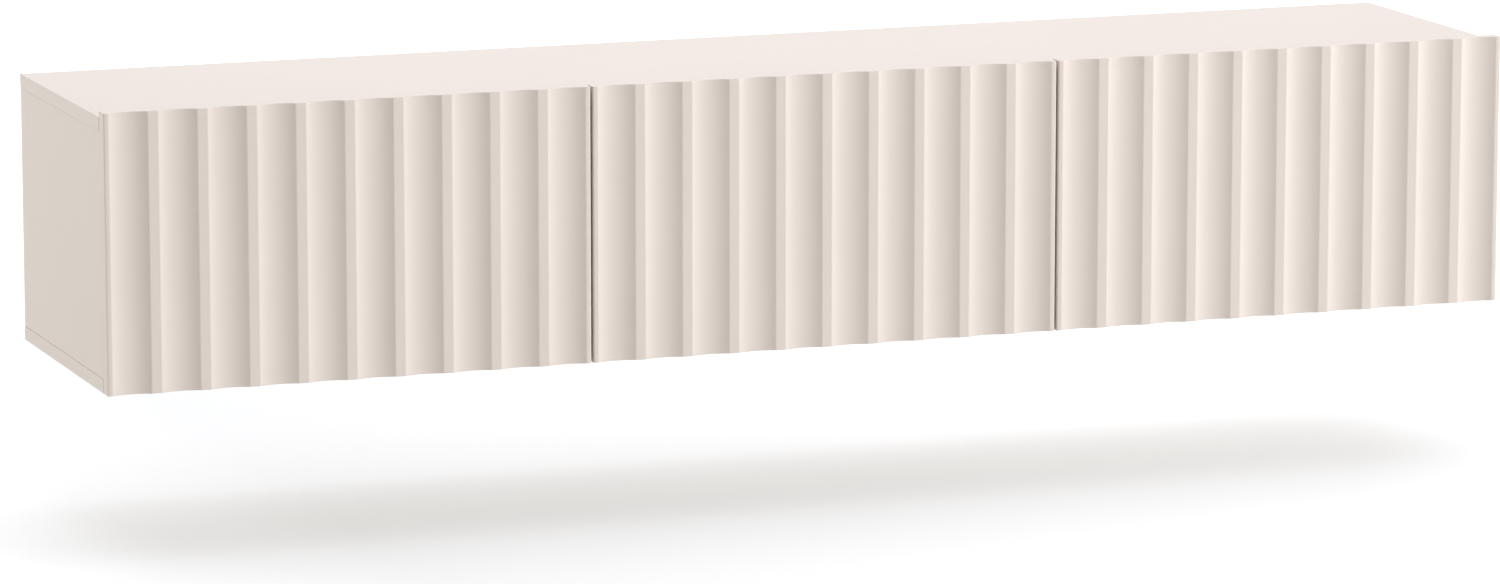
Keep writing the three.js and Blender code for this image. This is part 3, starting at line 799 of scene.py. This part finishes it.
def pivotProfile():
    base, thick = stay["baseRadius"], stay["baseThickness"]
    stud, end, rim = stay["studRadius"], stay["studEnd"], stay["pivotRounding"]
    return [(base, 0.0), (base, thick - rim), (base - rim, thick), (stud + rim, thick),
            (stud, thick + rim), (stud, end - rim), (stud - rim, end)]


for bay in bays:
    low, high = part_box(bay + "_stay_pivot")
    pivotPlace = Vector((low.x, (low.y + high.y) / 2, (low.z + high.z) / 2))
    pivot = turned(bay + "StayPivot", pivotProfile(), stay["studSides"],
                   Matrix.Translation(pivotPlace) @ sideways, finish["zincSteel"])
    settle(pivot, "root", "zinc_steel", bay + "_stay_pivot")

    brake = refined(bay + "StayBrake", bay + "_stay_brake", finish["greyPlastic"],
                    stay["brakeRounding"])
    settle(brake, bay + "_stay_brake", "grey_plastic", bay + "_stay_brake")
    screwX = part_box(bay + "_stay_brake")[1].x - stay["brakeScrewSunk"]
    addScrews(bay + "BrakeScrew", bay + "_stay_brake", [(screwX, pivotPlace.y, pivotPlace.z)],
              stay["brakeScrew"])

    bar = refined(bay + "StayBar", bay + "_stay_bar", finish["nickelSteel"], stay["steelRounding"])
    settle(bar, bay + "_stay_bar", "nickel_steel", bay + "_stay_bar")
    bracket = refined(bay + "StayBracket", bay + "_stay_bracket", finish["nickelSteel"],
                      stay["steelRounding"])
    settle(bracket, bay + "_flap", "nickel_steel", bay + "_stay_bracket")
    low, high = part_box(bay + "_stay_bracket")
    addScrews(bay + "BracketScrews", bay + "_flap",
              [(high.x - stay["bracketScrewIn"], low.y + stay["bracketBase"],
                (low.z + high.z) / 2 + side * stay["bracketScrewUp"]) for side in bothSides],
              stay["bracketScrew"])
print("stays made")


# magnetic catches, strike plates and bumpers
catch = {
    "rounding": 0.0005, "screwAcross": 0.017, "screwFromBack": 0.0075,
    "poleDepth": 0.0006,   # how much of the catch's nose is dark steel
    "screw": {"Facing": (0.0, 0.0, -1.0), "Radius": 0.003, "Height": 0.0012,
              "Recess Length": 0.0036},
    "strikeCorner": 0.003, "strikeRounding": 0.0003,
    "strikeScrew": {"Facing": (0.0, 1.0, 0.0), "Radius": 0.0018, "Height": 0.0002,
                    "Recess Length": 0.0024, "Recess Width": 0.0006, "Recess Depth": 0.00015},
    "bumperAcross": 0.25,  # from the middle of the front
}

for bay in bays:
    low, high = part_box(bay + "_magnetic_catch")
    body = refined(bay + "MagneticCatch", bay + "_magnetic_catch", finish["whitePlastic"],
                   catch["rounding"])
    body.data.materials.append(finish["darkSteel"])
    for face in body.data.polygons:
        if face.center.y < low.y + catch["poleDepth"]:
            face.material_index = 1
    settle(body, "root", "white_plastic", bay + "_magnetic_catch")
    addScrews(bay + "CatchScrews", "root",
              [((low.x + high.x) / 2 + side * catch["screwAcross"],
                high.y - catch["screwFromBack"], low.z) for side in bothSides], catch["screw"])

    low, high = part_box(bay + "_strike_plate")
    middle = middleOf(bay + "_strike_plate")
    outline = roundedBox(0.0, 0.0, high.x - low.x, high.z - low.z, catch["strikeCorner"])
    strike = stamped(bay + "StrikePlate", outline, [], high.y - low.y, catch["strikeRounding"],
                     Matrix.Translation(middle) @ standing, finish["zincSteel"])
    settle(strike, bay + "_flap", "zinc_steel", bay + "_strike_plate")
    addScrews(bay + "StrikeScrew", bay + "_flap", [(middle.x, high.y, middle.z)],
              catch["strikeScrew"])

    low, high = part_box(bay + "_flap")
    places = [((low.x + high.x) / 2 + side * catch["bumperAcross"], high.y,
               middleOf("top_panel").z) for side in bothSides]
    piece = growPiece(bay + "Bumpers", buttonTree, buttonSizes, finish["clearRubber"], places)
    settle(smoothByAngle(piece), bay + "_flap", "white_plastic")
print("catches, strike plates and bumpers made")


# caps over the cam locks that pull the boards together
camCap = {
    "radius": 0.0085, "height": 0.0012, "crown": 0.35,
    "fromBoard": 0.024,  # above the bottom panel, and below the top panel
    "depths": (-0.324, -0.112),
}
levels = (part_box("bottom_panel")[1].z + camCap["fromBoard"],
          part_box("top_panel")[0].z - camCap["fromBoard"])
for name, node, facing in (("leftSide", "left_side_panel", 1.0),
                           ("leftPartition", "partition_1", 1.0),
                           ("rightPartition", "partition_2", -1.0),
                           ("rightSide", "right_side_panel", -1.0)):
    low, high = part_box(node)
    face = high.x if facing > 0 else low.x
    sizes = {**buttonSizes, "Radius": camCap["radius"], "Height": camCap["height"],
             "Crown": camCap["crown"], "Facing": (facing, 0.0, 0.0)}
    piece = growPiece(name + "CamCaps", buttonTree, sizes, finish["capPlastic"],
                      [(face, y, z) for y in camCap["depths"] for z in levels])
    settle(smoothByAngle(piece), "root", "white_plastic")
print("cam caps made")


# wall rail and hangers
hanging = {
    "railRounding": 0.0004, "hangerRounding": 0.0008, "hookRounding": 0.0004,
    "screwsDown": (0.01, 0.032),  # the adjusting screws, from the hanger's top
    "screwBack": 0.004,
    "screw": {"Facing": (0.0, -1.0, 0.0), "Radius": 0.0037, "Height": 0.003, "Crown": 0.4,
              "Recess Length": 0.005},
}

rail = refined("wallRail", "wall_rail", finish["galvanisedSheet"], hanging["railRounding"])
settle(rail, "root", "galvanised_steel", "wall_rail")
for side in ("left", "right"):
    hanger = refined(side + "Hanger", side + "_hanger", finish["whitePlastic"],
                     hanging["hangerRounding"])
    settle(hanger, "root", "white_plastic", side + "_hanger")
    hook = refined(side + "HangerHook", side + "_hanger_hook", finish["zincSteel"],
                   hanging["hookRounding"])
    settle(hook, "root", "zinc_steel", side + "_hanger_hook")
    low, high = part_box(side + "_hanger")
    addScrews(side + "HangerScrews", "root",
              [((low.x + high.x) / 2, low.y + hanging["screwBack"], high.z - down)
               for down in hanging["screwsDown"]], hanging["screw"])
print("rail and hangers made")


# stage, light and camera
white = (1.0, 1.0, 1.0, 1.0)
stage = {
    "floorDrop": 0.216,  # from the underside of the console to the floor
    "floorHalf": 60.0,
    "floorSeen": (0.655, 0.667, 0.67),    # the floor's colour to the camera
    "floorOther": (0.775, 0.765, 0.722),  # and to the light that it throws back
    "glowRange": (1.0, 5.0), "floorGlow": (0.355, 1.0),    # near the console, and away from it
    "paintedLightAtEnds": ((-0.5, 0.8, 0.087), (-0.6, -1.2, 0.13)),  # from x, to x, and how much more glow there: painted light that lightens the floor's shadow towards each end
    "ambient": 0.3,
}


def seenDirectly(tree):  # camera, mirror and glass rays see the white of the set
    path = tree.nodes.new("ShaderNodeLightPath")
    seen = Wire(tree, path.outputs["Is Camera Ray"])
    for name in ("Is Glossy Ray", "Is Transmission Ray"):
        seen = calc(tree, "MAXIMUM", seen, Wire(tree, path.outputs[name]))
    return seen


def makeFloorWhite():
    material = bpy.data.materials.new("floorWhite")
    material.use_nodes = True
    tree = material.node_tree
    tree.nodes.clear()
    place = put(tree, "ShaderNodeTexCoord", get="Object")
    away = put(tree, "ShaderNodeVectorMath", {0: place}, get="Value", operation="LENGTH")
    near, far = stage["glowRange"]
    low, high = stage["floorGlow"]
    strength = put(tree, "ShaderNodeMapRange", {"Value": away, "From Min": near, "From Max": far,
                                                "To Min": low, "To Max": high})
    across = put(tree, "ShaderNodeSeparateXYZ", {0: place})
    # painted light: more glow along x, so the shadow under the console is lighter towards its ends
    for start, end, more in stage["paintedLightAtEnds"]:
        strength = strength + put(tree, "ShaderNodeMapRange", {
            "Value": across, "From Min": start, "From Max": end, "To Min": 0.0, "To Max": more})
    glow = put(tree, "ShaderNodeEmission", {"Color": white, "Strength": strength})
    seen = put(tree, "ShaderNodeBsdfDiffuse", {"Color": (*stage["floorSeen"], 1.0)})
    bright = put(tree, "ShaderNodeAddShader", {0: seen, 1: glow})
    other = put(tree, "ShaderNodeBsdfDiffuse", {"Color": (*stage["floorOther"], 1.0)})
    top = put(tree, "ShaderNodeMixShader", {0: seenDirectly(tree), 1: other, 2: bright})
    clear = put(tree, "ShaderNodeBsdfTransparent")
    below = put(tree, "ShaderNodeNewGeometry", get="Backfacing")
    both = put(tree, "ShaderNodeMixShader", {0: below, 1: top, 2: clear})
    tree.links.new(both.socket, tree.nodes.new("ShaderNodeOutputMaterial").inputs["Surface"])
    return material


def makeFloor():
    z = cadLow.z - stage["floorDrop"]
    half = stage["floorHalf"]
    mesh = bpy.data.meshes.new("floor")
    mesh.from_pydata([(-half, -half, z), (half, -half, z), (half, half, z), (-half, half, z)],
                     [], [(0, 1, 2, 3)])
    mesh.materials.append(makeFloorWhite())
    floor = addObject("floor", mesh)
    floor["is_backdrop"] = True


def makeWorld():
    world = bpy.data.worlds.new("whiteStudio")
    bpy.context.scene.world = world
    world.use_nodes = True
    tree = world.node_tree
    tree.nodes.clear()
    soft = put(tree, "ShaderNodeBackground", {"Color": white, "Strength": stage["ambient"]})
    plain = put(tree, "ShaderNodeBackground", {"Color": white, "Strength": 1.0})
    both = put(tree, "ShaderNodeMixShader", {0: seenDirectly(tree), 1: soft, 2: plain})
    tree.links.new(both.socket, tree.nodes.new("ShaderNodeOutputWorld").inputs["Surface"])


lamps = {  # the level is what a white face turned to the lamp shows
    "keyRight": {"from": (0.9, -0.42, 0.105), "distance": 14.0, "size": (4.0, 4.0),
                 "level": 0.635, "tint": (1.0, 1.0, 1.045)},
    "frontFill": {"from": (0.1, -0.97, 0.2), "distance": 8.0, "size": (3.0, 3.0),
                  "level": 0.135},
    "fillLeft": {"from": (-0.931, 0.339, 0.139), "distance": 10.0, "size": (4.0, 4.0),
                 "level": 0.262, "tint": (1.0, 0.97, 0.94)},
    "topSoft": {"from": (0.13, 0.16, 1.0), "distance": 4.0, "size": (6.0, 6.0),
                "level": 1.02, "tint": (1.0, 1.0, 1.06)},
    "backSoft": {"from": (0.1, 1.0, 0.2), "distance": 6.0, "size": (3.0, 3.0),
                 "level": 0.22, "mirrored": False},
}


def makeLamps():
    centre = (cadLow + cadHigh) / 2
    for name, lamp in lamps.items():
        light = bpy.data.lights.new(name, "AREA")
        light.shape = "RECTANGLE"
        light.size, light.size_y = lamp["size"]
        light.color = lamp.get("tint", (1.0, 1.0, 1.0))
        light.energy = math.pi ** 2 * lamp["level"] * lamp["distance"] ** 2
        holder = addObject(name, light)
        towards = Vector(lamp["from"]).normalized()
        holder.location = centre + towards * lamp["distance"]
        holder.rotation_euler = towards.to_track_quat("Z", "Y").to_euler()
        holder.visible_camera = False
        holder.visible_glossy = lamp.get("mirrored", True)


camera = {
    "place": (-3.14736, -8.60051, 1.38446), "turn": 20.3671, "tilt": -10.3121, "lens": 167.54,
    "sensor": 36.0, "clip": (0.1, 200.0),
}


def makeCamera():
    lens = bpy.data.cameras.new("camera")
    lens.lens, lens.sensor_width = camera["lens"], camera["sensor"]
    lens.clip_start, lens.clip_end = camera["clip"]
    holder = addObject("camera", lens)
    holder.location = camera["place"]
    holder.rotation_euler = (math.radians(90 + camera["tilt"]), 0.0,
                             math.radians(-camera["turn"]))
    bpy.context.scene.camera = holder


makeFloor()
makeWorld()
makeLamps()
makeCamera()
bpy.context.scene.view_settings.view_transform = "Standard"
print("stage, lamps and camera made")

low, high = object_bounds()
